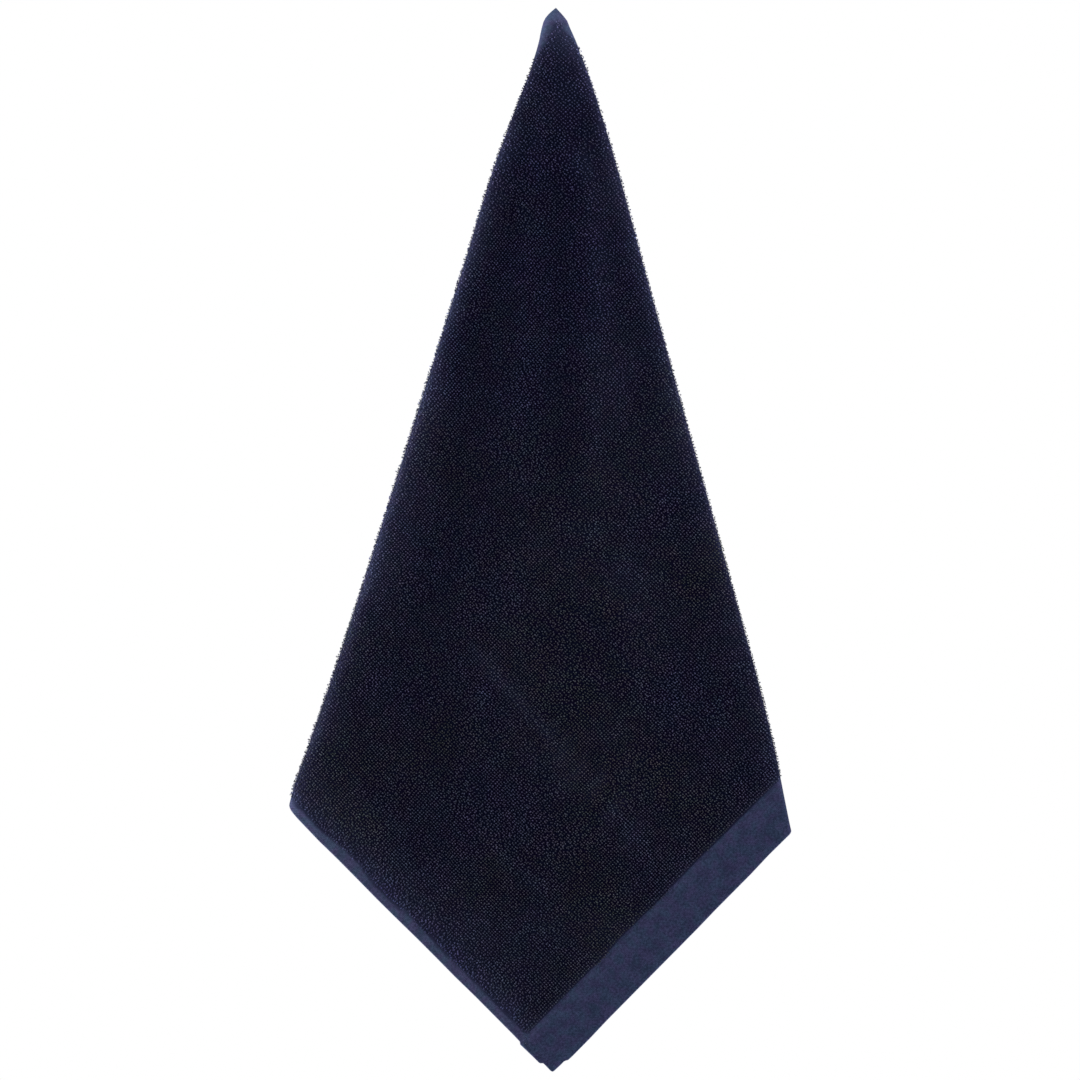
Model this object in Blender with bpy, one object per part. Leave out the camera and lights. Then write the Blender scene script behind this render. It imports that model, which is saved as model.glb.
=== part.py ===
"""Square terry tea towel hung by one corner, with both side corners folded behind it.

The cloth is one closed sheet. Every point of it is known by two lengths: along the left
top edge (s) and along the right top edge (t), both measured from the corner it hangs by.
The front of the towel faces -Y, the hung corner is at the origin and +Z is up.
"""

import bpy
import bmesh
import numpy as np

# The cloth laid out flat, in metres
SIDE = 0.500
PILE_THICKNESS = 0.0030
PLAIN_THICKNESS = 0.0013
SIDE_HEM = 0.0070
END_HEM = 0.0115
WOVEN_BAND = 0.0320
STEP_WIDTH = 0.0020

# How far the threads lean from vertical, in degrees: the cloth is pulled on the bias near
# the hung corner and has settled at the given distance down each top edge
LEFT_THREADS = {"start": 38.2, "settled": 44.4, "distance": 0.365}
RIGHT_THREADS = {"start": 35.7, "settled": 45.1, "distance": 0.331}

# Where each fold leaves its top edge and crosses its bottom edge, and how tightly it turns
LEFT_FOLD = {"top": 0.0120, "bottom": 0.2340, "top_radius": 0.0042, "bottom_radius": 0.0080}
RIGHT_FOLD = {"top": 0.0132, "bottom": 0.2634, "top_radius": 0.0021, "bottom_radius": 0.0027}

# How far the outlines stand outside (+) or inside (-) the straight folds, by height
OUTLINE_TABLE = [
    # height, left, right
    (0.000, 0.0000, 0.0000),
    (-0.012, 0.0028, 0.0015),
    (-0.035, 0.0006, 0.0038),
    (-0.065, 0.0019, 0.0059),
    (-0.105, 0.0035, 0.0068),
    (-0.175, 0.0025, 0.0063),
    (-0.290, 0.0009, 0.0058),
    (-0.410, -0.0002, 0.0061),
    (-0.480, 0.0000, 0.0055),
    (-0.530, 0.0014, 0.0034),
    (-0.570, 0.0002, 0.0005),
    (-0.620, 0.0000, 0.0000),
    (-0.740, 0.0000, 0.0000),
]

# The flat corner above both folds ends at this height, and the bow grows no wider than this
# share of the width
TIP_HEIGHT = -0.020
WIDEST_SHARE = 1.2

# Soft troughs of the hanging front: place across the width (-1 left, +1 right), depth, width
TROUGHS = [
    # place, depth, width
    (-0.55, 0.0030, 0.26),
    (0.70, 0.0035, 0.20),
]
TROUGH_HEIGHTS = (-0.03, -0.12, -0.30, -0.48)

# Gentle billow of the folded-back corners, away from the front
LEFT_BILLOW = 0.0040
BILLOW_LENGTH = 0.110

# Mesh density
ROWS = 36
FOLD_STATIONS = (-1.15, -0.80, -0.48, -0.16, 0.16, 0.48, 0.80, 1.15)
FLAP_STATIONS = 4
PANEL_STATIONS = 4
SMALLEST_GAP = 0.0004

NAVY = (0.0085, 0.0090, 0.0185, 1.0)


def smooth(value):
    """Ease from 0 to 1 as the value goes from 0 to 1."""
    value = np.clip(value, 0.0, 1.0)
    return value * value * (3.0 - 2.0 * value)


def thread_run(threads, length):
    """Sideways and downward reach of an edge that follows the threads for a length."""
    steps = 600
    along = (np.arange(steps) + 0.5) / steps * SIDE
    ease = smooth(along / threads["distance"])
    lean = np.radians(threads["start"] + (threads["settled"] - threads["start"]) * ease)
    ends = np.linspace(0.0, SIDE, steps + 1)
    sideways = np.concatenate(([0.0], np.cumsum(np.sin(lean)))) * SIDE / steps
    downward = np.concatenate(([0.0], np.cumsum(np.cos(lean)))) * SIDE / steps
    return np.interp(length, ends, sideways), np.interp(length, ends, downward)


def net(s, t):
    """Place of a cloth point on the flat, unfolded sheet: across and up."""
    left, left_drop = thread_run(LEFT_THREADS, s)
    right, right_drop = thread_run(RIGHT_THREADS, t)
    return right - left, -left_drop - right_drop


class Fold:
    """A straight fold line that turns one side corner behind the front."""

    def __init__(self, sizes, top, bottom, outward):
        self.sizes = sizes
        self.top = np.array(top)
        run = np.array(bottom) - self.top
        self.length = float(np.hypot(*run))
        self.along = run / self.length
        self.out = np.array((self.along[1], -self.along[0]))
        if self.out[0] * outward < 0.0:
            self.out = -self.out

    def radius(self, along):
        grown = smooth(along / self.length)
        return self.sizes["top_radius"] + (self.sizes["bottom_radius"] - self.sizes["top_radius"]) * grown

    def measure(self, x, z):
        """Distance down the fold and distance outside it."""
        dx = x - self.top[0]
        dz = z - self.top[1]
        return dx * self.along[0] + dz * self.along[1], dx * self.out[0] + dz * self.out[1]

    def turn(self, x, z):
        """Shift across, shift up and depth that the fold gives to flat points."""
        down, outside = self.measure(x, z)
        radius = self.radius(down)
        half = np.pi * radius / 2.0
        angle = np.clip((outside + half) / radius, 0.0, np.pi)
        turned = np.where(outside > half, -outside, -half + radius * np.sin(angle))
        turned = np.where(outside < -half, outside, turned)
        shift = turned - outside
        return shift * self.out[0], shift * self.out[1], radius * (1.0 - np.cos(angle))

    def outline(self, height):
        """Sideways place of the folded edge's outermost point at a height."""
        down = (height - self.top[1]) / self.along[1]
        inset = self.radius(down) * (np.pi / 2.0 - 1.0) - PILE_THICKNESS / 2.0
        return self.top[0] + down * self.along[0] - inset / self.out[0]


LEFT = Fold(LEFT_FOLD, net(LEFT_FOLD["top"], 0.0), net(SIDE, LEFT_FOLD["bottom"]), -1.0)
RIGHT = Fold(RIGHT_FOLD, net(0.0, RIGHT_FOLD["top"]), net(RIGHT_FOLD["bottom"], SIDE), 1.0)


def curve_through(heights, values, z):
    """Smooth curve through the values given at rising heights."""
    slopes = np.gradient(values, heights)
    below = np.clip(np.searchsorted(heights, z) - 1, 0, len(heights) - 2)
    span = heights[below + 1] - heights[below]
    share = np.clip((z - heights[below]) / span, 0.0, 1.0)
    ease = smooth(share)
    start_pull = share * (1.0 - share) ** 2 * span * slopes[below]
    end_pull = share ** 2 * (share - 1.0) * span * slopes[below + 1]
    return values[below] * (1.0 - ease) + values[below + 1] * ease + start_pull + end_pull


def bow(x, z):
    """Sideways shift that bows the two outlines as the hanging cloth does."""
    heights, left, right = (np.array(column)[::-1] for column in zip(*OUTLINE_TABLE))
    level = np.minimum(z, TIP_HEIGHT)
    left_share = np.clip(x / LEFT.outline(level), 0.0, WIDEST_SHARE)
    right_share = np.clip(x / RIGHT.outline(level), 0.0, WIDEST_SHARE)
    return curve_through(heights, right, z) * right_share - curve_through(heights, left, z) * left_share


def relief(x, z):
    """Depth of the soft troughs that run down the front."""
    half_width = np.where(x < 0.0, -LEFT.outline(z), RIGHT.outline(z))
    place = x / np.maximum(half_width, 0.01)
    begin, full, fade, end = TROUGH_HEIGHTS
    strength = smooth((begin - z) / (begin - full)) * (1.0 - smooth((fade - z) / (fade - end)))
    depth = np.zeros_like(x)
    for centre, deepest, width in TROUGHS:
        depth += deepest * np.exp(-((place - centre) / width) ** 2)
    return depth * strength


def place(s, t):
    """World position of a cloth point on the middle of the sheet."""
    flat_x, flat_z = net(s, t)
    left_x, left_z, left_depth = LEFT.turn(flat_x, flat_z)
    right_x, right_z, right_depth = RIGHT.turn(flat_x, flat_z)
    x = flat_x + left_x + right_x
    z = flat_z + left_z + right_z
    outside = LEFT.measure(flat_x, flat_z)[1]
    billow = LEFT_BILLOW * smooth(outside / BILLOW_LENGTH)
    depth = left_depth + right_depth + relief(x, z) + billow
    return np.stack((x + bow(x, z), depth, z), axis=-1)


def thickness(s, t):
    """Thickness of the cloth: plain weave at the edges, standing loops inside them."""
    inside = np.minimum.reduce((t - END_HEM, SIDE - WOVEN_BAND - t, s - SIDE_HEM, SIDE - SIDE_HEM - s))
    return PLAIN_THICKNESS + (PILE_THICKNESS - PLAIN_THICKNESS) * smooth(inside / STEP_WIDTH + 0.5)


def normals(s, t):
    """Direction that the towel's outer face looks, at cloth points."""
    small = 0.0001
    over_s = place(np.clip(s + small, 0, SIDE), t) - place(np.clip(s - small, 0, SIDE), t)
    over_t = place(s, np.clip(t + small, 0, SIDE)) - place(s, np.clip(t - small, 0, SIDE))
    across = np.cross(over_s, over_t)
    return across / np.linalg.norm(across, axis=-1, keepdims=True)


def leg_stations(length, fold, flat_leg, hem):
    """Distances from the free edge at which a row's leg has its points, up to its bend."""
    trial = np.linspace(0.0, length, 400)
    down, outside = fold.measure(*flat_leg(trial))
    crossing = float(np.interp(0.0, -outside, trial))
    slope = abs(outside[-1] - outside[0]) / length
    half = np.pi / 2.0 * float(fold.radius(np.interp(crossing, trial, down))) / slope
    stations = [hem - STEP_WIDTH / 2.0, hem + STEP_WIDTH / 2.0]
    stations += [crossing + half * share for share in FOLD_STATIONS]
    flap_end = crossing + half * FOLD_STATIONS[0]
    panel_start = crossing + half * FOLD_STATIONS[-1]
    stations += list(np.linspace(hem, max(flap_end, hem + 0.002), FLAP_STATIONS + 2)[1:-1])
    stations += list(np.linspace(min(panel_start, length), length, PANEL_STATIONS + 2)[1:-1])
    stations = np.sort(np.clip(stations, 0.0, length))
    count = len(stations)
    gap = min(SMALLEST_GAP, length / (count + 2))
    for index in range(count):
        stations[index] = max(stations[index], gap if index == 0 else stations[index - 1] + gap)
    for index in reversed(range(count)):
        limit = length - gap if index == count - 1 else stations[index + 1] - gap
        stations[index] = min(stations[index], limit)
    return np.concatenate(([0.0], stations))


def row_sizes():
    """How far each bent row lies from the hung corner, on its left and its right leg."""
    half_step = STEP_WIDTH / 2.0
    left = [0.0040, 0.0080, 0.0120, 0.0165, 0.0220, 0.0290, 0.0380, 0.0490]
    right = list(left)
    left_last = SIDE - SIDE_HEM - half_step
    right_last = SIDE - WOVEN_BAND - half_step
    for share in np.linspace(0.0, 1.0, ROWS)[1:]:
        left.append(left[7] + (left_last - left[7]) * share)
        right.append(right[7] + (right_last - right[7]) * share)
    left += [left_last + STEP_WIDTH, SIDE - SIDE_HEM / 2.0, SIDE]
    right += [right_last + STEP_WIDTH, SIDE - WOVEN_BAND / 2.0, SIDE]
    return list(zip(left, right))


def cloth_rows():
    """Cloth points of every row, from the left top edge round to the right top edge."""
    rows = []
    for reach_s, reach_t in row_sizes():
        left = leg_stations(reach_t, LEFT, lambda t: net(reach_s, t), END_HEM)
        right = leg_stations(reach_s, RIGHT, lambda s: net(s, reach_t), SIDE_HEM)
        points = [(reach_s, t) for t in left]
        points.append((reach_s, reach_t))
        points += [(s, reach_t) for s in reversed(right)]
        rows.append(points)
    return rows


def sheet_mesh(name):
    """Closed mesh of the cloth: an outer face, an inner face and the edge between them."""
    rows = cloth_rows()
    flat = np.array([(0.0, 0.0)] + [point for row in rows for point in row])
    s, t = flat[:, 0], flat[:, 1]
    middle = place(s, t)
    lift = normals(s, t) * thickness(s, t)[:, None] / 2.0

    mesh = bmesh.new()
    outer = [mesh.verts.new(point) for point in middle + lift]
    inner = [mesh.verts.new(point) for point in middle - lift]
    wide = len(rows[0])

    def index(row, column):
        return 1 + row * wide + column

    for column in range(wide - 1):
        add_both(mesh, outer, inner, (0, index(0, column), index(0, column + 1)))
    for row in range(len(rows) - 1):
        for column in range(wide - 1):
            corners = (index(row, column), index(row + 1, column),
                       index(row + 1, column + 1), index(row, column + 1))
            add_both(mesh, outer, inner, corners[:3])
            add_both(mesh, outer, inner, (corners[0], corners[2], corners[3]))

    last = len(rows) - 1
    rim = [0] + [index(row, 0) for row in range(last)]
    rim += [index(last, column) for column in range(wide)]
    rim += [index(row, wide - 1) for row in reversed(range(last))]
    for here, there in zip(rim, rim[1:] + rim[:1]):
        mesh.faces.new((outer[there], outer[here], inner[here]))
        mesh.faces.new((outer[there], inner[here], inner[there]))

    data = bpy.data.meshes.new(name)
    mesh.to_mesh(data)
    mesh.free()
    return data


def add_both(mesh, outer, inner, corners):
    """Add the same triangle to the outer face and, turned over, to the inner face."""
    mesh.faces.new([outer[corner] for corner in corners])
    mesh.faces.new([inner[corner] for corner in reversed(corners)])


def terry_material():
    material = bpy.data.materials.new("navy_terry")
    material.use_nodes = True
    shader = material.node_tree.nodes["Principled BSDF"]
    shader.inputs["Base Color"].default_value = NAVY
    shader.inputs["Roughness"].default_value = 0.95
    shader.inputs["Metallic"].default_value = 0.0
    return material


def main():
    for item in list(bpy.data.objects):
        bpy.data.objects.remove(item, do_unlink=True)
    towel = bpy.data.objects.new("towel", sheet_mesh("towel"))
    towel.data.materials.append(terry_material())
    bpy.context.scene.collection.objects.link(towel)


main()
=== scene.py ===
import math
import bpy
import numpy as np
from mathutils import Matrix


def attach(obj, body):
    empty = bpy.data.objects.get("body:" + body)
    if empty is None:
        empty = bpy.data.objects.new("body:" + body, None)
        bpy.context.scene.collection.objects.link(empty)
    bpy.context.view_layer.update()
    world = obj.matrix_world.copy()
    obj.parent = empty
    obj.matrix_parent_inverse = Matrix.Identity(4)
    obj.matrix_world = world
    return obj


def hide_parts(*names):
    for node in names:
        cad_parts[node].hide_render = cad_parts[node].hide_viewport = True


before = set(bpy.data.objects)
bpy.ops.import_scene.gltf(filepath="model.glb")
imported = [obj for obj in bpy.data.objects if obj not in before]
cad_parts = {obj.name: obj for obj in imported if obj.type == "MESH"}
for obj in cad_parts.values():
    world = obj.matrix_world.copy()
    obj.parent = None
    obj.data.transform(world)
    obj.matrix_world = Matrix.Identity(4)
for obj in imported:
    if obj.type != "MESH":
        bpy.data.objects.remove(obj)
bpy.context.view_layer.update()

# camera: square on to the front, framed as the photograph
photo = {"pixels": 1080, "metresPerPixel": 0.000695, "tipX": 555.7, "tipY": 7.4}
view = {"distance": 2.40, "sensor": 36.0}


def pixelToPlace(px, py):
    return (px - photo["tipX"]) * photo["metresPerPixel"], (photo["tipY"] - py) * photo["metresPerPixel"]


def addCamera():
    middle = photo["pixels"] / 2
    x, z = pixelToPlace(middle, middle)
    data = bpy.data.cameras.new("camera")
    data.sensor_width = view["sensor"]
    data.lens = view["sensor"] * view["distance"] / (photo["pixels"] * photo["metresPerPixel"])
    data.clip_end = 50
    camera = bpy.data.objects.new("camera", data)
    camera.location = (x, -view["distance"], z)
    camera.rotation_euler = (math.pi / 2, 0, 0)
    bpy.context.scene.collection.objects.link(camera)
    bpy.context.scene.camera = camera


addCamera()
print("camera set")

# the cloth as it was woven and hemmed, in metres. s runs from the hung corner down the
# left top edge, t down the right top edge
cloth = {
    "side": 0.500,
    "sideHem": 0.0070,
    "endHem": 0.0115,
    "band": 0.0320,
    "groundHalf": 0.00050,
    "hemHalf": 0.00080,
    "bandHalf": 0.00060,
    "pileHalf": 0.00150,
    "lowCornerRound": 0.0018,
    "topCornerRound": 0.0002,
    "bandFlare": 0.0012,
    "bandClear": 0.0006,
    "knot": 0.0011,
    "knotPlace": 0.0124,
}
side = cloth["side"]

# how the hanging cloth lies: the threads' lean from vertical in degrees, and the two folds
hang = {
    "leftThreads": (38.2, 44.4, 0.365),
    "rightThreads": (35.7, 45.1, 0.331),
    "leftFold": {"top": 0.0120, "bottom": 0.2340, "topRadius": 0.0042, "bottomRadius": 0.0080},
    "rightFold": {"top": 0.0132, "bottom": 0.2634, "topRadius": 0.0021, "bottomRadius": 0.0027},
    "billow": 0.0040,
    "billowLength": 0.110,
    "troughHeights": (-0.03, -0.12, -0.30, -0.48),
    "tipHeight": -0.020,
    "widestShare": 1.2,
}

# how far the outlines stand outside the straight folds: height, left, right
outlineRows = [
    (0.000, 0.0077, 0.0028),
    (-0.006, 0.0076, 0.0030),
    (-0.012, 0.0048, 0.0025),
    (-0.020, 0.0022, 0.0034),
    (-0.035, 0.0010, 0.0055),
    (-0.065, 0.0023, 0.0074),
    (-0.105, 0.0040, 0.0083),
    (-0.175, 0.0027, 0.0077),
    (-0.290, 0.0012, 0.0073),
    (-0.410, 0.0000, 0.0074),
    (-0.480, 0.0002, 0.0068),
    (-0.530, 0.0012, 0.0044),
    (-0.541, 0.0016, 0.0034),
    (-0.551, 0.0006, 0.0026),
    (-0.570, 0.0000, 0.0012),
    (-0.620, 0.0000, 0.0000),
    (-0.740, 0.0000, 0.0000),
]

# soft troughs down the front: place across (-1 left, 1 right), depth, width
troughs = [(-0.55, 0.0030, 0.26), (0.70, 0.0024, 0.20)]

# creases, with painted shade and light along them: start, end, width, depth, lightness
creases = [
    ((-0.024, -0.125), (-0.046, -0.196), 0.013, 0.0004, -0.22),  # left trough, its upper end
    ((-0.048, -0.205), (-0.078, -0.410), 0.011, 0.0008, -0.54),
    ((0.004, -0.130), (0.005, -0.310), 0.011, 0.0014, -0.52),  # middle trough
    ((-0.022, -0.200), (-0.024, -0.325), 0.006, -0.0005, 0.04),
    ((0.026, -0.110), (0.031, -0.285), 0.010, -0.0010, 0.32),  # ridge right of the middle
    ((0.042, -0.240), (0.084, -0.292), 0.015, 0.0, 0.18),
    ((-0.088, -0.440), (-0.078, -0.575), 0.017, 0.0010, -0.42),
    ((-0.054, -0.450), (0.060, -0.580), 0.0036, -0.0007, 0.56),  # pressed fold along the low side
    ((0.060, -0.580), (0.086, -0.606), 0.0036, -0.0003, 0.22),
    ((0.034, -0.130), (0.056, -0.210), 0.012, 0.0, 0.13),
    ((-0.094, -0.537), (-0.010, -0.612), 0.0032, -0.0004, 0.26),
    ((-0.150, -0.548), (-0.040, -0.662), 0.013, -0.0006, 0.20),
    ((-0.172, -0.551), (-0.136, -0.557), 0.009, 0.0, 0.26),
    ((-0.180, -0.531), (-0.180, -0.539), 0.007, 0.0, -0.30),
    ((0.031, -0.432), (0.031, -0.446), 0.015, 0.0005, -0.22),
    ((0.100, -0.523), (0.000, -0.640), 0.016, 0.0004, -0.16),
    ((0.076, -0.478), (0.090, -0.494), 0.011, -0.0003, 0.14),
    ((0.084, -0.450), (0.092, -0.474), 0.012, 0.0, -0.14),
    ((0.024, -0.310), (0.038, -0.390), 0.014, -0.0004, 0.14),
    ((-0.074, -0.262), (-0.102, -0.366), 0.011, 0.0, 0.28),
    ((-0.037, -0.232), (-0.050, -0.370), 0.010, 0.0, -0.34),
    ((0.053, -0.405), (0.062, -0.450), 0.014, 0.0, 0.26),
    ((0.036, -0.505), (0.052, -0.515), 0.011, 0.0, 0.14),
    ((0.000, -0.636), (0.044, -0.644), 0.012, 0.0, 0.30),
    ((-0.014, -0.512), (0.006, -0.535), 0.010, 0.0, 0.20),
    ((0.044, -0.535), (0.086, -0.551), 0.013, 0.0, 0.14),
    ((0.116, -0.476), (0.142, -0.520), 0.011, 0.0, -0.21),
    ((-0.122, -0.380), (-0.124, -0.395), 0.010, 0.0, 0.24),
    ((-0.054, -0.168), (-0.068, -0.210), 0.009, 0.0, 0.21),
    ((0.042, -0.272), (0.056, -0.335), 0.014, 0.0, 0.18),
    ((0.073, -0.236), (0.084, -0.272), 0.008, 0.0, 0.17),
    ((0.030, -0.368), (0.042, -0.374), 0.010, 0.0, 0.14),
    ((0.016, -0.242), (0.018, -0.262), 0.007, 0.0, 0.14),
    ((-0.024, -0.438), (-0.008, -0.454), 0.010, 0.0, 0.19),
    ((0.040, -0.566), (0.060, -0.590), 0.013, 0.0, 0.10),
    ((-0.126, -0.600), (-0.106, -0.622), 0.007, 0.0, 0.16),
    ((0.000, -0.052), (0.003, -0.060), 0.010, 0.0, 0.14),
    ((-0.026, -0.066), (-0.024, -0.078), 0.006, 0.0, -0.18),
    ((-0.060, -0.240), (-0.020, -0.254), 0.012, 0.0, -0.13),
    ((0.026, -0.316), (0.036, -0.324), 0.009, 0.0, 0.14),
    ((-0.066, -0.664), (-0.036, -0.674), 0.010, 0.0, -0.14),
    ((-0.016, -0.700), (-0.006, -0.704), 0.007, 0.0, -0.18),
]


def ease(value):
    value = np.clip(value, 0.0, 1.0)
    return value * value * (3.0 - 2.0 * value)


def cloud(x, y, size, seed):
    # smooth random field from -1 to 1 with lumps of the given size
    grid = np.random.default_rng(seed).uniform(-1, 1, (256, 256))
    u = np.asarray(x) / size + 101.3
    v = np.asarray(y) / size + 57.7
    i, j = np.floor(u).astype(int), np.floor(v).astype(int)
    a, b = ease(u - i), ease(v - j)
    i, j = i % 255, j % 255
    near = grid[i, j] * (1 - a) + grid[i + 1, j] * a
    far = grid[i, j + 1] * (1 - a) + grid[i + 1, j + 1] * a
    return near * (1 - b) + far * b


def threadRun(threads):
    # reach of an edge that follows the threads: sideways and down, against its length
    start, settled, distance = threads
    steps = 600
    middles = (np.arange(steps) + 0.5) / steps * side
    lean = np.radians(start + (settled - start) * ease(middles / distance))
    ends = np.linspace(0, side, steps + 1)
    sideways = np.concatenate(([0], np.cumsum(np.sin(lean)))) * side / steps
    downward = np.concatenate(([0], np.cumsum(np.cos(lean)))) * side / steps
    return ends, sideways, downward


leftRun = threadRun(hang["leftThreads"])
rightRun = threadRun(hang["rightThreads"])


def along(run, length, column):
    # past the ends the edge carries straight on
    ends, values = run[0], run[column]
    slope = (values[-1] - values[-2]) / (ends[-1] - ends[-2])
    beyond = np.maximum(length - side, 0) * slope
    return np.interp(length, ends, values) + beyond


def net(s, t):
    x = along(rightRun, t, 1) - along(leftRun, s, 1)
    return x, -along(leftRun, s, 2) - along(rightRun, t, 2)


class Fold:
    # a fold line that runs down from top to bottom, with the cloth turned round it to the back
    def __init__(self, sizes, top, bottom, outward):
        self.sizes = sizes
        self.top = np.array([float(v) for v in top])
        run = np.array([float(v) for v in bottom]) - self.top
        self.length = float(np.hypot(*run))
        self.down = run / self.length
        self.out = np.array((self.down[1], -self.down[0]))
        if self.out[0] * outward < 0:
            self.out = -self.out

    def radius(self, down):
        grown = ease(down / self.length)
        return self.sizes["topRadius"] + (self.sizes["bottomRadius"] - self.sizes["topRadius"]) * grown

    def measure(self, x, z):
        dx, dz = x - self.top[0], z - self.top[1]
        return dx * self.down[0] + dz * self.down[1], dx * self.out[0] + dz * self.out[1]

    def turn(self, x, z):
        down, outside = self.measure(x, z)
        radius = self.radius(down)
        half = np.pi * radius / 2
        angle = np.clip((outside + half) / radius, 0, np.pi)
        turned = np.where(outside > half, -outside, -half + radius * np.sin(angle))
        turned = np.where(outside < -half, outside, turned)
        shift = turned - outside
        return shift * self.out[0], shift * self.out[1], radius * (1 - np.cos(angle))

    def fromOutline(self, x, z):
        # how far inside the folded cloth's outline a point comes to lie
        down, outside = self.measure(x, z)
        shiftX, shiftZ, _ = self.turn(x, z)
        turned = outside + shiftX * self.out[0] + shiftZ * self.out[1]
        return -turned - self.radius(down) * (np.pi / 2 - 1)

    def outline(self, height):
        down = (height - self.top[1]) / self.down[1]
        inset = self.radius(down) * (np.pi / 2 - 1) - cloth["pileHalf"]
        return self.top[0] + down * self.down[0] - inset / self.out[0]


leftSizes, rightSizes = hang["leftFold"], hang["rightFold"]
leftFold = Fold(leftSizes, net(leftSizes["top"], 0), net(side, leftSizes["bottom"]), -1)
rightFold = Fold(rightSizes, net(0, rightSizes["top"]), net(rightSizes["bottom"], side), 1)


def curveThrough(heights, values, z):
    # smooth curve through the outline rows
    slopes = np.gradient(values, heights)
    below = np.clip(np.searchsorted(heights, z) - 1, 0, len(heights) - 2)
    span = heights[below + 1] - heights[below]
    share = np.clip((z - heights[below]) / span, 0, 1)
    blend = ease(share)
    startPull = share * (1 - share) ** 2 * span * slopes[below]
    endPull = share ** 2 * (share - 1) * span * slopes[below + 1]
    return values[below] * (1 - blend) + values[below + 1] * blend + startPull + endPull


def bow(x, z):
    # how far the cloth moves sideways for its outline to follow the rows
    heights, left, right = (np.array(column)[::-1] for column in zip(*outlineRows))
    level = np.minimum(z, hang["tipHeight"])
    leftShare = np.clip(x / leftFold.outline(level), 0, hang["widestShare"])
    rightShare = np.clip(x / rightFold.outline(level), 0, hang["widestShare"])
    return curveThrough(heights, right, z) * rightShare - curveThrough(heights, left, z) * leftShare


def strokes(x, z, column):
    # sum of the creases' depths, or of their painted shade and light, at a place
    total = 0 * x
    for crease in creases:
        start, end, width = np.array(crease[0]), np.array(crease[1]), crease[2]
        run = end - start
        share = np.clip(((x - start[0]) * run[0] + (z - start[1]) * run[1]) / np.dot(run, run), 0, 1)
        far = np.hypot(x - start[0] - share * run[0], z - start[1] - share * run[1])
        total = total + crease[column] * np.exp(-0.5 * (far / width) ** 2)
    return total


def relief(x, z):
    halfWidth = np.where(x < 0, -leftFold.outline(z), rightFold.outline(z))
    place = x / np.maximum(halfWidth, 0.01)
    begin, full, fade, end = hang["troughHeights"]
    strength = ease((begin - z) / (begin - full)) * (1 - ease((fade - z) / (fade - end)))
    depth = sum(deepest * np.exp(-((place - centre) / width) ** 2) for centre, deepest, width in troughs)
    return depth * strength


def roundCorners(s, t):
    # pull the two corners on the towel's middle line in to small arcs
    for radius, s0, t0, sign in (
        (cloth["lowCornerRound"], side, side, 1),
        (cloth["topCornerRound"], 0.0, 0.0, -1),
    ):
        a = radius - (s0 - s) * sign
        b = radius - (t0 - t) * sign
        near = (a > 0) & (b > 0)
        size = np.maximum(np.hypot(a, b), 1e-9)
        pull = np.where(near, np.maximum(a, b) / size, 1.0)
        s = np.where(near, s0 - sign * (radius - a * pull), s)
        t = np.where(near, t0 - sign * (radius - b * pull), t)
    return s, t


def unevenEdges(s, t):
    # the woven band reaches a little wider than the hemmed pile, and no edge is dead straight
    nearLeft = ease((s - side + 0.02) / 0.02)
    nearRight = ease((t - side + 0.02) / 0.02)
    inBand = ease((t - side + cloth["band"] + 0.0005) / 0.0011)
    s = s + nearLeft * (0.0005 + cloth["bandFlare"] * inBand + 0.00035 * cloud(t, 0 * t, 0.011, 21))
    t = t + nearRight * (0.0004 + 0.00030 * cloud(s, 0 * s, 0.009, 22))
    s = s + 0.0007 * nearLeft * np.exp(-((t - 0.262) / 0.013) ** 2)
    # the lowest corner is drawn in a little
    drawnS = 0.0018 * nearLeft * ease((t - side + 0.0120) / 0.0026)
    drawnT = 0.0017 * nearRight * ease((s - side + 0.0148) / 0.0046)
    s, t = s - drawnS, t - drawnT
    # the end hem's inner line stands out a little beside the hung corner
    knot = np.exp(-((t - cloth["knotPlace"]) / 0.0011) ** 2) * ease(1 - s / 0.006)
    return s - cloth["knot"] * knot, t


def placeCloth(s, t):
    s, t = roundCorners(s, t)
    s, t = unevenEdges(s, t)
    flatX, flatZ = net(s, t)
    leftX, leftZ, leftDepth = leftFold.turn(flatX, flatZ)
    rightX, rightZ, rightDepth = rightFold.turn(flatX, flatZ)
    x = flatX + leftX + rightX
    z = flatZ + leftZ + rightZ
    outside = leftFold.measure(flatX, flatZ)[1]
    billow = hang["billow"] * ease(outside / hang["billowLength"])
    onFront = ease(1 - (leftDepth + rightDepth) / 0.004)
    depth = leftDepth + rightDepth + relief(x, z) + billow + strokes(x, z, 3) * onFront
    return np.stack((x + bow(x, z), depth, z), axis=-1)


def clothFrame(s, t):
    # place, and unit directions along s, along t and out of the towel's outer face
    step = 0.0002
    place = placeCloth(s, t)
    overS = placeCloth(s + step, t) - placeCloth(s - step, t)
    overT = placeCloth(s, t + step) - placeCloth(s, t - step)
    out = np.cross(overS, overT)
    return place, unit(overS), unit(overT), unit(out)


def nearTip(s, t, start, reach):
    return ease(1 - (s + t - start) / reach)


# painted light and shade on the pile in doublings of light, with how far in each reaches: painted rim light
# at the two folds, and lighter or darker strips along the low hem, the band, the hung corner and the upper
# half
paintedPileLight = {
    "leftFold": 2.30,
    "leftReach": 0.0079,
    "rightFold": 1.86,
    "rightReach": 0.0050,
    "lowHem": 1.20,
    "lowReach": 0.0110,
    "lowEdge": 0.45,
    "lowEdgeReach": 0.0026,
    "band": 0.40,
    "bandReach": 0.0022,
    "tip": 0.50,
    "upper": 0.24,
    "whole": 0.03,
    "mostGapLight": 0.80,
}


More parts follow.
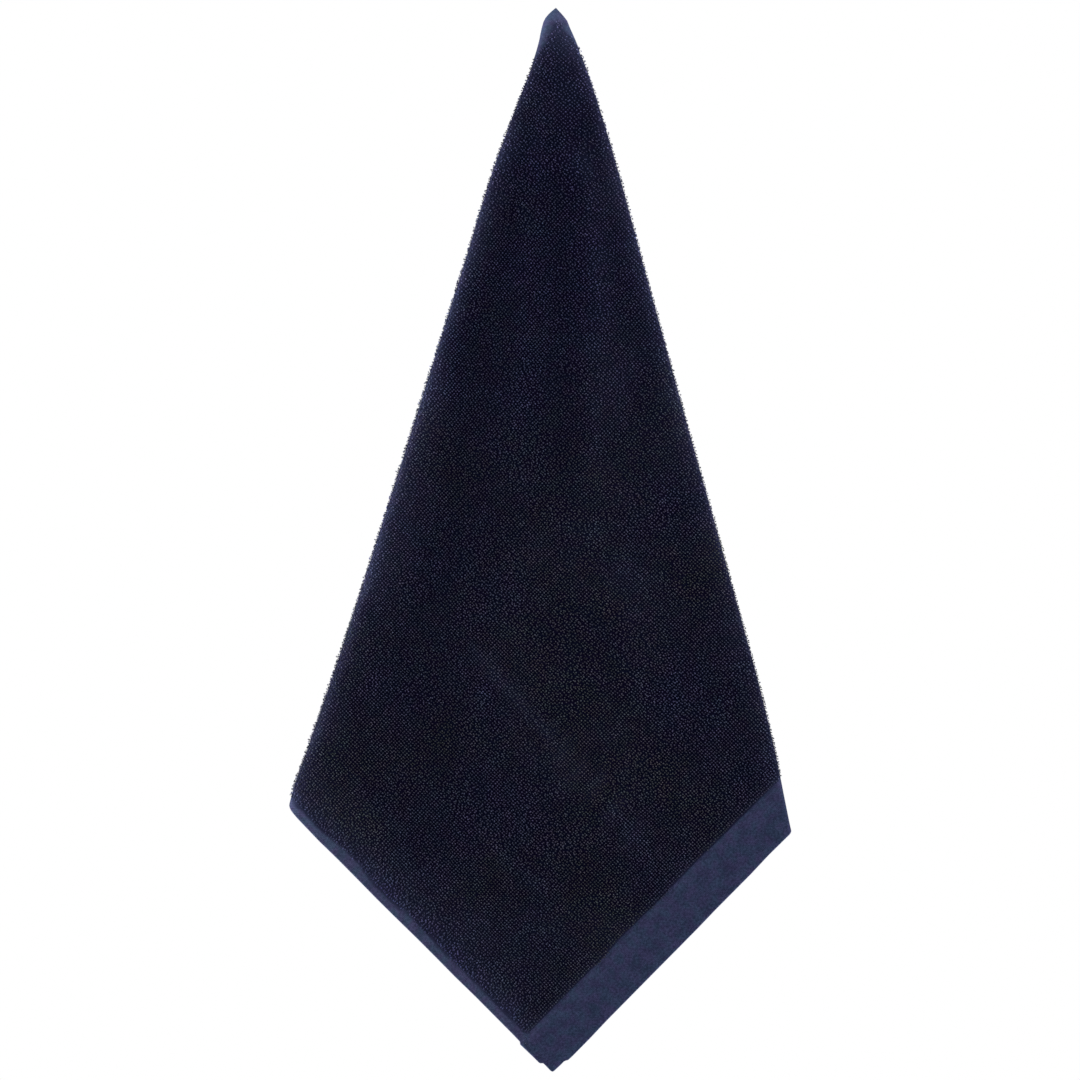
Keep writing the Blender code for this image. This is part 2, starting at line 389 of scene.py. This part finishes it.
def pileLight(s, t, place):
    # how light the pile's colour is painted, and how much painted light lifts the gaps between its loops:
    # painted rim light at the folds, paler along the low side hem and by the hung corner, with painted shade
    # and light along the creases and soft clouds
    flatX, flatZ = net(s, t)
    left, right = leftFold.fromOutline(flatX, flatZ), rightFold.fromOutline(flatX, flatZ)
    low = np.maximum(side - cloth["sideHem"] - s, 0)
    beside = np.maximum(side - cloth["band"] - cloth["bandClear"] - t, 0)
    upper, lowest = ease((place[:, 2] + 0.42) / 0.30), ease((-0.40 - place[:, 2]) / 0.05)
    lowEdge, bandEdge = np.exp(-low / paintedPileLight["lowEdgeReach"]), np.exp(-beside / paintedPileLight["bandReach"])
    # painted rim light along both folds, and painted light along the low hem
    leftRimLight = paintedPileLight["leftFold"] - 0.34 * lowest - 0.46 * ease((place[:, 2] + 0.105) / 0.030)
    leftRimLight = leftRimLight * np.exp(-left / paintedPileLight["leftReach"])
    rightRimLight = (paintedPileLight["rightFold"] - 0.38 * lowest) * np.exp(-right / paintedPileLight["rightReach"])
    lowRimLight = paintedPileLight["lowHem"] * np.exp(-low / paintedPileLight["lowReach"]) * (1 - 0.7 * np.exp(-left / 0.0085))
    light = leftRimLight + rightRimLight + lowRimLight - paintedPileLight["lowEdge"] * lowEdge
    light = light - 0.05 * ease((-0.37 - place[:, 2]) / 0.04) + paintedPileLight["band"] * bandEdge
    light = light + paintedPileLight["tip"] * nearTip(s, t, 0.020, 0.040) - paintedPileLight["upper"] * upper + paintedPileLight["whole"]
    # painted shade in the creases' troughs and painted light on their ridges, fading out behind the front
    light = light + strokes(place[:, 0], place[:, 2], 4) * ease(1 - place[:, 1] / 0.010)
    light = light + 0.16 * cloud(s, t, 0.0080, 51) + 0.12 * cloud(s, t, 0.019, 52)
    # painted light in the gaps between the loops; the crowns' painted light is lowered to match
    gapLight = 0.27 * light + 0.04 * ease(1 - low / 0.030) + 0.30 * lowEdge
    gapLight = gapLight - 0.26 * np.exp(-left / 0.0060) - 0.16 * np.exp(-right / 0.0045)
    gapLight = gapLight + 0.25 * bandEdge + 0.02 * upper
    gapLight = gapLight + 0.06 * ease((place[:, 2] + 0.24) / 0.10) + 0.05 * ease((-0.59 - place[:, 2]) / 0.05)
    gapLight = np.clip(gapLight, 0, paintedPileLight["mostGapLight"])
    return np.exp2(light) / (1 + gapLight) ** 1.6, gapLight


def unit(vectors):
    return vectors / np.maximum(np.linalg.norm(vectors, axis=-1, keepdims=True), 1e-12)


def makeMesh(name, points, faces, smoothFaces=True):
    mesh = bpy.data.meshes.new(name)
    faces = np.asarray(faces, dtype=np.int32)
    count, corners = faces.shape
    mesh.vertices.add(len(points))
    mesh.vertices.foreach_set("co", np.asarray(points, dtype=np.float32).ravel())
    mesh.loops.add(count * corners)
    mesh.loops.foreach_set("vertex_index", faces.ravel())
    mesh.polygons.add(count)
    mesh.polygons.foreach_set("loop_start", np.arange(count, dtype=np.int32) * corners)
    mesh.polygons.foreach_set("use_smooth", np.full(count, smoothFaces))
    mesh.update()
    piece = bpy.data.objects.new(name, mesh)
    bpy.context.scene.collection.objects.link(piece)
    return piece


def addNumbers(piece, name, values, kind="FLOAT"):
    layer = piece.data.attributes.new(name, kind, "POINT")
    key = "value" if kind == "FLOAT" else "vector"
    layer.data.foreach_set(key, np.asarray(values, dtype=np.float32).ravel())


# ground cloth: plain weave, with a rounded hem down each side and the wide band
ground = {
    "rows": 96,
    "tipRows": (0.0015, 0.0032, 0.0055, 0.0082, 0.0112, 0.0145, 0.0185, 0.0230, 0.0285, 0.0350, 0.0425),
    "foldStations": np.linspace(-1.12, 1.12, 15),
    "flapStations": 9,
    "panelStations": 12,
    "smallestGap": 0.00012,
    "edgeStations": (0.00012, 0.00040, 0.00090, 0.0020),
    "cornerStations": (0.0010, 0.0022, 0.0040, 0.0065, 0.0088, 0.0096, 0.0106, 0.0114, 0.0124, 0.0140),
    "cornerReach": 0.012,
    "stepWidth": 0.0016,
}


def clothHalf(s, t):
    # half the thickness of the ground cloth, rounded off at every edge
    toEdge = np.minimum.reduce((s, t, side - s, side - t))
    inBand = ease((t - side + cloth["band"]) / ground["stepWidth"] + 0.5)
    inHem = 1 - ease((np.minimum(s, side - s) - cloth["sideHem"]) / ground["stepWidth"] + 0.5)
    inEnd = 1 - ease((t - cloth["endHem"]) / ground["stepWidth"] + 0.5)
    half = cloth["groundHalf"] + (cloth["bandHalf"] - cloth["groundHalf"]) * inBand
    hem = np.maximum(inHem, inEnd)
    half = half + (cloth["hemHalf"] - half) * hem
    inShare = np.clip(toEdge / half, 0, 1)
    return half * np.sqrt(np.maximum(1 - (1 - inShare) ** 2, 0))


def legStations(length, fold, leg, hem, farLine):
    # places of the ground's columns along one leg of a row: close together at the edges and the
    # hem, round the fold and at the corner, and even between them
    trial = np.linspace(0, length, 400)
    down, outside = fold.measure(*leg(trial))
    crossing = float(np.interp(0, -outside, trial))
    slope = abs(outside[-1] - outside[0]) / length
    half = np.pi / 2 * float(fold.radius(np.interp(crossing, trial, down))) / slope
    stations = list(ground["edgeStations"])
    stations += [hem - ground["stepWidth"] / 2, hem, hem + ground["stepWidth"] / 2]
    stations += [farLine - ground["stepWidth"] / 2, farLine, farLine + ground["stepWidth"] / 2]
    end = side if length > side - ground["cornerReach"] else length
    stations += [end - back for back in ground["cornerStations"] if back < length / 2]
    stations += [length / 2] * sum(back >= length / 2 for back in ground["cornerStations"])
    stations += [crossing + half * share for share in ground["foldStations"]]
    flapEnd = crossing + half * ground["foldStations"][0]
    panelStart = crossing + half * ground["foldStations"][-1]
    flapEnd, panelStart = max(flapEnd, hem + 0.002), min(panelStart, length)
    stations += list(np.linspace(hem, flapEnd, ground["flapStations"] + 2)[1:-1])
    stations += list(np.linspace(panelStart, length, ground["panelStations"] + 2)[1:-1])
    stations = np.sort(np.clip(stations, 0, length))
    count = len(stations)
    gap = min(ground["smallestGap"], length / (count + 2))
    for i in range(count):
        stations[i] = max(stations[i], gap if i == 0 else stations[i - 1] + gap)
    for i in reversed(range(count)):
        stations[i] = min(stations[i], length - gap if i == count - 1 else stations[i + 1] - gap)
    return np.concatenate(([0], stations))


def groundRows():
    # each row runs up one leg from an edge to the diagonal and back down the other
    halfStep = ground["stepWidth"] / 2
    hemLine, bandLine = side - cloth["sideHem"], side - cloth["band"]
    left, right = list(ground["tipRows"]), list(ground["tipRows"])
    leftLast, rightLast = hemLine - halfStep, bandLine - halfStep
    for share in np.linspace(0, 1, ground["rows"])[1:]:
        left.append(left[len(ground["tipRows"]) - 1] * (1 - share) + leftLast * share)
        right.append(right[len(ground["tipRows"]) - 1] * (1 - share) + rightLast * share)
    for share in (0.06, 0.30, 0.50, 0.70, 0.84):
        left.append(leftLast + (side - leftLast) * share)
        right.append(rightLast + (side - rightLast) * share)
    for fromEdge in reversed((0.0,) + ground["edgeStations"][:3]):
        left.append(side - fromEdge)
        right.append(side - fromEdge)
    rows = []
    for reachS, reachT in zip(left, right):
        down = legStations(reachT, leftFold, lambda t: net(reachS, t), cloth["endHem"], bandLine)
        up = legStations(reachS, rightFold, lambda s: net(s, reachT), cloth["sideHem"], hemLine)
        points = [(reachS, t) for t in down] + [(reachS, reachT)]
        rows.append(points + [(s, reachT) for s in reversed(up)])
    return rows


def pileRoom(s, t, bandSlope=1.0):
    # how far inside the pile area a place lies, negative on the hems and the band. Beside the
    # hung corner the pile starts nearer the edges, and along the low hem and the band it wavers
    sideGap = cloth["sideHem"] - 0.0022 * ease(1 - t / 0.050)
    endGap = cloth["endHem"] - 0.0060 * ease(1 - s / 0.024)
    wave = 0.0022 * cloud(t, 0 * t, 0.0110, 34) + 0.0015 * cloud(t, 0 * t, 0.0040, 35)
    lowGap = cloth["sideHem"] + 0.0004 - wave
    toHems = np.minimum.reduce((s - sideGap, side - lowGap - s, t - endGap, s + t - 0.0128))
    toBand = side - cloth["band"] - cloth["bandClear"] - t + 0.0005 * cloud(s, 0 * s, 0.0100, 36)
    return np.minimum(toHems, toBand * bandSlope)


def hemWearAndLight(s, t):
    # the plain hems are paler at the hung corner, less so towards the pile there, and at the left one, with
    # a painted shadow line below the hung corner's cap, and the band is painted lighter beside the pile
    place = placeCloth(s, t)
    # painted shadow: a dark line across the hung corner below its cap
    line = np.exp(-((place[:, 2] + 0.0120) / 0.0017) ** 2) * ease((place[:, 0] + 0.009) / 0.010)
    inward = ease((pileRoom(s, t) + 0.0065) / 0.0070) * ease(s / 0.008) * ease((0.007 - place[:, 0]) / 0.006)
    inward = inward * ease((-0.0080 - place[:, 2]) / 0.0060)
    atTip = nearTip(s, t, 0.012, 0.060) * (1.38 - 1.00 * inward) - 0.70 * line
    onLowHem = ease((s - side + 0.020) / 0.008) * ease((side - cloth["band"] - t) / 0.006 + 0.5)
    atLeft = (0.42 + 0.19 * ease(1 - (t - leftSizes["bottom"]) / 0.09)) * onLowHem
    intoBand = t - side + cloth["band"]
    # painted light on the band where the pile meets it
    besidePile = 0.22 * np.exp(-np.abs(intoBand) / 0.0040) * ease(intoBand / 0.0006)
    return np.maximum(atTip, atLeft) + besidePile


def makeGround():
    rows = groundRows()
    flat = np.array([(0.0, 0.0)] + [point for row in rows for point in row])
    s, t = flat[:, 0], flat[:, 1]
    place, _, _, out = clothFrame(s, t)
    lift = out * clothHalf(s, t)[:, None]
    wide, total = len(rows[0]), len(flat)
    upper, lower = place + lift, place - lift
    index = 1 + np.arange(len(rows) * wide).reshape(len(rows), wide)
    a, b = index[:-1, :-1].ravel(), index[1:, :-1].ravel()
    c, d = index[1:, 1:].ravel(), index[:-1, 1:].ravel()
    front = [(0, i, i + 1) for i in range(1, wide)]
    front += list(zip(a, b, c)) + list(zip(a, c, d))
    front = np.array(front)
    back = front[:, ::-1] + total
    piece = makeMesh("clothGround", np.concatenate((upper, lower)), np.concatenate((front, back)))
    both = np.concatenate((flat, flat))
    addNumbers(piece, "cut", np.column_stack((both, np.zeros(len(both)))), "FLOAT_VECTOR")
    light, gapLight = pileLight(s, t, place)
    lowSide = ease((s - side + 0.020) / 0.008)
    numbers = {
        "room": pileRoom(s, t, 4.0) * 1000 + 0.5 * lowSide,
        "worn": hemWearAndLight(s, t),
        "tip": nearTip(s, t, 0.012, 0.050),
        "ribbed": 0.3 + 1.5 * ease(1 - (t - leftSizes["bottom"]) / 0.060) * lowSide,
        # painted light in the gaps between the loops, laid on the ground's painted pile shade
        "paintedGapLight": gapLight * light,
        "inside": ease(np.minimum.reduce((s, t, side - s, side - t)) / 0.0011),
        # painted rim light along the outline at the low corners
        "lowRimLight": 1 - ease(np.minimum(side - s, side - t) / 0.0011),
    }
    for name, values in numbers.items():
        addNumbers(piece, name, np.concatenate((values, values)))
    return piece


# terry loops: one small closed arch for each, standing on the ground cloth along t
pile = {
    "pitchS": 0.001772,
    "pitchT": 0.001946,
    "rise": 0.00105,
    "span": 0.00140,
    "shoulder": 0.20,
    "foot": 0.42,
    "yarn": 0.00049,
    "jitter": 0.105,
    "turn": 0.24,
    "lean": 0.16,
    "cloudLean": 0.24,
    "edgeLean": 0.66,
    "edgeReach": 0.0300,
    "bandReach": 0.0030,
    "ragged": 0.0014,
    "hiddenMargin": 0.014,
    "seed": 11,
}


def insideFlap(x, z, corners):
    # how far inside the triangle of a folded-back corner a point lies, negative outside it
    middle = np.mean(corners, axis=0)
    depths = []
    for a, b in ((corners[0], corners[1]), (corners[1], corners[2])):
        run = unit(np.array(b) - np.array(a))
        across = np.array((-run[1], run[0]))
        if np.dot(middle - a, across) < 0:
            across = -across
        depths.append((x - a[0]) * across[0] + (z - a[1]) * across[1])
    return np.minimum(*depths)


def flapCorners(points):
    place = placeCloth(np.array([p[0] for p in points]), np.array([p[1] for p in points]))
    return place[:, [0, 2]]


leftFlap = flapCorners([(leftSizes["top"], 0.0), (side, 0.0), (side, leftSizes["bottom"])])
rightFlap = flapCorners([(0.0, rightSizes["top"]), (0.0, side), (rightSizes["bottom"], side)])


def loopRoots(random):
    # one root for each loop, on a slightly uneven grid of pile rows
    s = np.arange(cloth["sideHem"] - pile["pitchS"] * 1.5, side - cloth["sideHem"], pile["pitchS"])
    t = np.arange(cloth["endHem"] - pile["pitchT"] * 2.5, side - cloth["band"] + 0.0010, pile["pitchT"])
    s, t = (grid.ravel() for grid in np.meshgrid(s, t, indexing="ij"))
    loose = pile["jitter"] * (1 + 0.8 * cloud(s, t, 0.023, 30) + 0.7 * nearTip(s, t, 0.04, 0.18))
    s = s + random.normal(0, 1, s.shape) * loose * pile["pitchS"]
    t = t + random.normal(0, 1, t.shape) * loose * pile["pitchT"]
    s = s + 0.00040 * cloud(s, t, 0.014, 31)
    t = t + 0.00040 * cloud(s, t, 0.017, 32)
    # the start of the pile is ragged along the hems and even along the band
    room = pileRoom(s, t)
    ragged = pile["ragged"] * ease((side - cloth["band"] - t) / 0.006)
    stray = ragged * (random.uniform(0, 1, s.shape) < 0.10)
    keep = room + ragged * cloud(s, t, 0.0035, 33) + stray > 0
    return s[keep], t[keep]


# an arch's corners: one foot, three round the yarn at each shoulder, and the other foot
archFaces = [(0, 2, 1), (0, 1, 3), (0, 3, 2)]
archFaces += [(1, 2, 5), (1, 5, 4), (3, 1, 4), (3, 4, 6), (2, 3, 6), (2, 6, 5)]
archFaces += [(7, 4, 5), (7, 6, 4), (7, 5, 6)]
archCorners = 8


def colourLoops(piece, s, t, place, rim, random):
    # painted light and shade on the loops: painted gap light pales their sides, loops at the folds are
    # painted lighter or darker at random, and where the pile's painted light is low, fewer loops are painted
    # light
    count = len(s)
    light, gapLight = pileLight(s, t, place)
    dim = np.clip(0.9 - light, 0, 0.5)
    light = light * (1 + 0.8 * dim) * np.exp2(rim * random.normal(-0.20, 0.80, count))
    light = light * np.exp2(0.20 * cloud(s, t, 0.0044, 71) + 0.15 * cloud(s, t, 0.0100, 72))
    tone = random.uniform(0, 1, count) ** (1 + 3.0 * dim)
    # painted shade on each loop: dark at its feet, half way on its shoulders' sides and light on top, lifted
    # by the painted gap light
    paintedLoopLight = np.array((0, 1, 0.5, 0.5, 1, 0.5, 0.5, 0))
    # slow changes of hue, and a bluer upper half
    hue = 0.05 * cloud(s, t, 0.028, 61) + 0.035 * cloud(s, t, 0.013, 62)
    cool = 0.24 * ease((place[:, 2] + 0.42) / 0.30) + 0.60 * np.exp(-(side - cloth["sideHem"] - s) / 0.0060)
    cool = cool + 0.24 * cloud(s, t, 0.045, 63) + 0.14 * cloud(s, t, 0.012, 64) - 0.03
    # the painted light goes into one colour factor with the slow changes of hue
    paintedLightAndHue = np.stack((light * (1 + hue), light * (1 - hue * 0.6), light * (1 + cool)), axis=-1)
    flat = np.column_stack((s, t, np.zeros(count)))
    addNumbers(piece, "tone", np.repeat(tone, archCorners))
    addNumbers(piece, "rise", paintedLoopLight + (1 - paintedLoopLight) * gapLight[:, None])
    addNumbers(piece, "paintedLightAndHue", np.repeat(paintedLightAndHue, archCorners, axis=0), "FLOAT_VECTOR")
    addNumbers(piece, "cut", np.repeat(flat, archCorners, axis=0), "FLOAT_VECTOR")


def standLoops(name, s, t, face, random):
    # arches along t, each with two feet in the ground cloth and a rounded top
    place, overS, overT, out = clothFrame(s, t)
    out = out * face
    count = len(s)
    base = place + out * (clothHalf(s, t) * 0.6)[:, None]
    lowSide = ease(1 - (side - cloth["sideHem"] - s) / pile["edgeReach"])
    turn = (random.normal(0, pile["turn"], count) * (1 + 1.2 * lowSide) + lowSide * 1.25)[:, None]
    run = unit(overT * np.cos(turn) + overS * np.sin(turn))
    beside = np.cross(out, run)
    leanS = random.normal(0, pile["lean"], count) + pile["cloudLean"] * cloud(s, t, 0.021, 41)
    leanT = random.normal(0, pile["lean"], count) + pile["cloudLean"] * cloud(s, t, 0.027, 42)
    # beside the side hems the loops are longer and lie over towards the edge
    topSide = ease(1 - (s - cloth["sideHem"]) / 0.006)
    endSide = ease(1 - (t - cloth["endHem"]) / 0.006)
    bandSide = ease(1 - (side - cloth["band"] - t) / pile["bandReach"])
    leanS = leanS + pile["edgeLean"] * (lowSide * (1 + random.normal(0, 0.7, count)) - topSide)
    leanT = leanT - pile["edgeLean"] * (endSide + random.normal(0, 0.5, count) * lowSide) + 0.25 * bandSide
    # at the folds the loops stand apart, some high and light and some low and dark
    left, right = leftFold.fromOutline(*net(s, t)), rightFold.fromOutline(*net(s, t))
    rim = np.clip(np.exp(-left / 0.0055) + 0.65 * np.exp(-right / 0.0045), 0, 1)
    leanS = leanS + rim * random.normal(0, 0.30, count)
    leanT = leanT + rim * random.normal(0, 0.30, count)
    up = unit(out + overS * leanS[:, None] + overT * leanT[:, None])
    worn = (1 - 0.35 * nearTip(s, t, 0.012, 0.026)) * (1 + rim * random.normal(0.04, 0.34, count))
    rise = pile["rise"] * (1 + random.normal(0, 0.10, count) + 0.06 * cloud(s, t, 0.009, 43))
    rise = (rise * worn * (1 + 0.30 * lowSide))[:, None]
    span = (pile["span"] * (1 + random.normal(0, 0.10, count)) * (1 - 0.12 * lowSide))[:, None]
    yarn = (pile["yarn"] * (1 + random.normal(0, 0.10, count)) * (1 - 0.10 * lowSide - 0.22 * rim))[:, None]
    shoulder = (pile["shoulder"] * (1 + 0.6 * lowSide))[:, None]
    points = [base - run * span * pile["foot"]]
    for where in (-1, 1):
        centre = base + run * (where * span * shoulder) + up * rise
        outward = unit(up + run * (where * 0.75))
        low = centre - outward * yarn * 0.5
        points += [centre + outward * yarn * 0.9, low + beside * yarn, low - beside * yarn]
    points.append(base + run * span * pile["foot"])
    points = np.stack(points, axis=1).reshape(-1, 3)
    faces = np.array(archFaces)[None] + np.arange(count)[:, None, None] * archCorners
    piece = makeMesh(name, points, faces.reshape(-1, 3))
    colourLoops(piece, s, t, place, rim, random)
    return piece


def makePile():
    random = np.random.default_rng(pile["seed"])
    s, t = loopRoots(random)
    flatX, flatZ = net(s, t)
    overLeft = leftFold.measure(flatX, flatZ)[1] > 0
    overRight = rightFold.measure(flatX, flatZ)[1] > 0
    place = placeCloth(s, t)
    x, z = place[:, 0], place[:, 2]
    underLeft = insideFlap(x, z, leftFlap) > pile["hiddenMargin"]
    underRight = insideFlap(x, z, rightFlap) > pile["hiddenMargin"]
    front = ~overLeft & ~overRight
    far = s + t
    cuts = np.quantile(far[front], (1 / 3, 2 / 3))
    zones = {
        "pileFrontUpper": (front & (far < cuts[0]), 1),
        "pileFrontMiddle": (front & (far >= cuts[0]) & (far < cuts[1]), 1),
        "pileFrontLower": (front & (far >= cuts[1]), 1),
        "pileLeftFlap": (overLeft, 1),
        "pileRightFlap": (overRight & ~underLeft, 1),
        "pileInside": (front & ~underLeft & ~underRight, -1),
    }
    pieces = []
    for name, (chosen, face) in zones.items():
        piece = standLoops(name, s[chosen], t[chosen], face, random)
        print(name, chosen.sum(), "loops,", len(piece.data.polygons), "triangles")
        pieces.append(piece)
    return pieces


class Wire:
    # a node's output that takes part in sums as a number does
    def __init__(self, look, socket):
        self.look, self.socket = look, socket

    def sum(self, operation, first, second=0.0):
        return self.look.add("ShaderNodeMath", {"operation": operation}, {0: first, 1: second})

    def __add__(self, other):
        return self.sum("ADD", self, other)

    def __sub__(self, other):
        return self.sum("SUBTRACT", self, other)

    def __rsub__(self, other):
        return self.sum("SUBTRACT", other, self)

    def __mul__(self, other):
        return self.sum("MULTIPLY", self, other)

    __radd__ = __add__
    __rmul__ = __mul__


class Look:
    # a material and its nodes
    def __init__(self, name):
        self.material = bpy.data.materials.new(name)
        self.material.use_nodes = True
        self.nodes = self.material.node_tree.nodes
        self.links = self.material.node_tree.links
        self.shader = self.nodes["Principled BSDF"]

    def add(self, kind, settings, sockets, output=0):
        node = self.nodes.new(kind)
        for key, value in settings.items():
            setattr(node, key, value)
        self.fill(node, sockets)
        return Wire(self, node.outputs[output])

    def fill(self, node, sockets):
        for key, value in sockets.items():
            socket = node.inputs[key]
            if isinstance(value, Wire):
                self.links.new(value.socket, socket)
            else:
                socket.default_value = value

    def finish(self, sockets):
        self.fill(self.shader, sockets)
        return self.material

    def number(self, name):
        return self.add("ShaderNodeAttribute", {"attribute_name": name}, {}, "Fac")

    def place(self, name):
        return self.add("ShaderNodeAttribute", {"attribute_name": name}, {}, "Vector")

    def noise(self, where, scale, detail=2.0):
        return self.add("ShaderNodeTexNoise", {}, {"Vector": where, "Scale": scale, "Detail": detail}, "Fac")

    def blend(self, factor, first, second, kind="MIX"):
        settings = {"data_type": "RGBA", "blend_type": kind}
        return self.add("ShaderNodeMix", settings, {"Factor": factor, 6: first, 7: second}, 2)

    def remap(self, value, low, high, newLow, newHigh):
        sockets = {"Value": value, "From Min": low, "From Max": high, "To Min": newLow, "To Max": newHigh}
        return self.add("ShaderNodeMapRange", {"clamp": True}, sockets, "Result")

    def wave(self, where, scale, direction):
        settings = {"wave_type": "BANDS", "bands_direction": direction, "wave_profile": "SIN"}
        return self.add("ShaderNodeTexWave", settings, {"Vector": where, "Scale": scale}, "Fac")

    def scale(self, colour, factor):
        return self.add("ShaderNodeVectorMath", {"operation": "SCALE"}, {"Vector": colour, "Scale": factor})

    def bump(self, height, strength, distance):
        sockets = {"Height": height, "Strength": strength, "Distance": distance}
        return self.add("ShaderNodeBump", {}, sockets, "Normal")

    def dyePatches(self, cut):
        # where the dye turns from teal to violet, the same on loops and ground
        return self.remap(self.noise(cut, 80.0, 1.5), 0.42, 0.58, 0.0, 1.0)


loopLook = {
    "paintedFootShade": (0.0004, 0.0004, 0.0036, 1),
    "teal": (0.0119, 0.0138, 0.0218, 1),
    "violet": (0.0138, 0.0131, 0.0226, 1),
    "sheen": 0.012,
    "sheenTint": (0.62, 0.68, 1.0, 1),
}


def makeLoopLook():
    look = Look("navyLoops")
    cut = look.place("cut")
    crown = look.blend(look.dyePatches(cut), loopLook["teal"], loopLook["violet"])
    tone = look.number("tone")
    crown = look.scale(crown, tone * tone * 0.88 + 0.68)
    # painted shade: each loop's colour runs from a near black at its feet to its crown colour on top
    colour = look.blend(look.number("rise"), loopLook["paintedFootShade"], crown)
    return look.finish({
        "Base Color": look.blend(1.0, colour, look.place("paintedLightAndHue"), "MULTIPLY"),
        "Roughness": 0.95,
        "Specular IOR Level": 0.02,
        "Sheen Weight": loopLook["sheen"],
        "Sheen Roughness": 0.50,
        "Sheen Tint": loopLook["sheenTint"],
    })


groundLook = {
    "weave": (0.0047, 0.0060, 0.0148, 1),
    "weavePale": (0.0097, 0.0119, 0.0268, 1),
    "pileShadeTeal": (0.0002, 0.0005, 0.0035, 1),
    "pileShadeViolet": (0.0005, 0.0002, 0.0034, 1),
    "paintedGapLight": (0.0074, 0.0084, 0.0172),
    "worn": (1.08, 1.02, 0.90, 1),
    "thread": 0.00104,
    "rib": 0.00226,
    "ribLight": 0.32,
    "rimLight": 1.20,
    "plainLight": 0.865,
    "patchTeal": (0.88, 1.07, 0.99, 1),
    "patchViolet": (1.11, 0.93, 1.03, 1),
    "sheen": 0.012,
    "sheenTint": (0.62, 0.68, 1.0, 1),
}


def makeGroundLook():
    look = Look("navyWeave")
    cut = look.place("cut")
    # wave textures repeat every 2 pi / 20 of a unit at scale 1, diagonal ones every 2 pi / 10
    waveScale = 2 * math.pi / 20 / groundLook["thread"]
    warp = look.wave(cut, waveScale, "X")
    weft = look.wave(cut, waveScale, "Y")
    cloudy = look.noise(cut, 110.0, 3.0)
    speck = look.noise(cut, 620.0, 2.0)
    rib = look.wave(cut, 2 * math.pi / 10 / groundLook["rib"], "DIAGONAL") * look.number("ribbed")
    tone = look.remap(cloudy * 0.35 + speck * 0.65, 0.40, 0.62, 0.0, 1.0)
    # the hems' paleness also carries the painted shadow line at the hung corner and the painted light on the
    # band beside the pile
    worn = look.number("worn")
    inside = look.number("inside")
    tone = tone + (0.5 - tone) * look.remap(worn, 0.0, 1.0, 0.0, 0.4)
    plain = look.blend(tone, groundLook["weave"], groundLook["weavePale"])
    # painted rim light: the outline at the low corners is painted lighter
    lowRimLight = look.number("lowRimLight") * groundLook["rimLight"]
    plain = look.scale(plain, worn + groundLook["plainLight"] + rib * groundLook["ribLight"] + lowRimLight)
    plain = look.blend(look.remap(worn, 0.0, 0.5, 0.0, 1.0), plain, groundLook["worn"], "MULTIPLY")
    patch = look.remap(look.noise(cut, 130.0, 1.0), 0.38, 0.62, 0.0, 1.0)
    patch = look.blend(patch, groundLook["patchTeal"], groundLook["patchViolet"])
    plain = look.blend(1.0, plain, patch, "MULTIPLY")
    # the pile's shade ends unevenly on the plain weave
    shade = look.remap(look.number("room") + cloudy * 3.2, 0.5, 2.4, 0.0, 1.0)
    # painted shade of the pile on the ground between the loops, in teal and violet dye patches, with painted
    # light added where the gaps are lit
    pileShade = look.blend(look.dyePatches(cut), groundLook["pileShadeTeal"], groundLook["pileShadeViolet"])
    pileShade = look.blend(1.0, pileShade, look.scale(groundLook["paintedGapLight"], look.number("paintedGapLight")), "ADD")
    colour = look.blend(shade * (1 - look.number("tip") * 0.20), plain, pileShade)
    height = (warp * 0.5 + weft * 0.5 + speck * 1.4) * inside
    return look.finish({
        "Base Color": colour,
        "Roughness": 0.92,
        "Specular IOR Level": 0.02,
        "Sheen Weight": groundLook["sheen"],
        "Sheen Roughness": 0.45,
        "Sheen Tint": groundLook["sheenTint"],
        "Normal": look.bump(height, 0.60, 0.00018),
    })


def dressTowel():
    base = makeGround()
    base.data.materials.append(makeGroundLook())
    print("ground cloth", len(base.data.polygons), "triangles")
    loops = makePile()
    loopMaterial = makeLoopLook()
    for piece in loops:
        piece.data.materials.append(loopMaterial)
    for piece in [base] + loops:
        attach(piece, "root")
        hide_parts("towel")


dressTowel()
print("towel dressed")

# studio: a pale floor far below the hanging towel, white surroundings and soft lights
studio = {
    "floor": -1.45,
    "floorSize": 5.0,
    "floorColour": (0.82, 0.82, 0.82, 1),
    "world": 1.0,
    "lights": [  # name, place, size, power
        ("leftSoft", (-1.9, -0.45, 0.1), 1.3, 200),
        ("rightSoft", (1.9, -0.45, 0.0), 1.3, 170),
        ("topSoft", (0.2, -1.2, 1.2), 1.0, 14),
    ],
}


def addStudio():
    size = studio["floorSize"] / 2
    z = studio["floor"]
    corners = [(-size, -size, z), (size, -size, z), (size, size, z), (-size, size, z)]
    floor = makeMesh("floor", corners, [(0, 1, 2, 3)], False)
    look = Look("paleFloor")
    floor.data.materials.append(look.finish({"Base Color": studio["floorColour"], "Roughness": 0.9}))
    world = bpy.data.worlds.new("white")
    world.use_nodes = True
    world.node_tree.nodes["Background"].inputs["Color"].default_value = (1, 1, 1, 1)
    world.node_tree.nodes["Background"].inputs["Strength"].default_value = studio["world"]
    bpy.context.scene.world = world
    for name, place, size, power in studio["lights"]:
        data = bpy.data.lights.new(name, "AREA")
        data.size = size
        data.energy = power
        lamp = bpy.data.objects.new(name, data)
        lamp.location = place
        aim = np.array((0.0, 0.0, -0.37)) - np.array(place)
        yaw = math.atan2(-aim[0], aim[1])
        pitch = math.atan2(aim[2], math.hypot(aim[0], aim[1]))
        lamp.rotation_euler = (math.pi / 2 + pitch, 0, yaw)
        bpy.context.scene.collection.objects.link(lamp)


addStudio()
bpy.context.scene.view_settings.view_transform = "Standard"
print("studio ready")
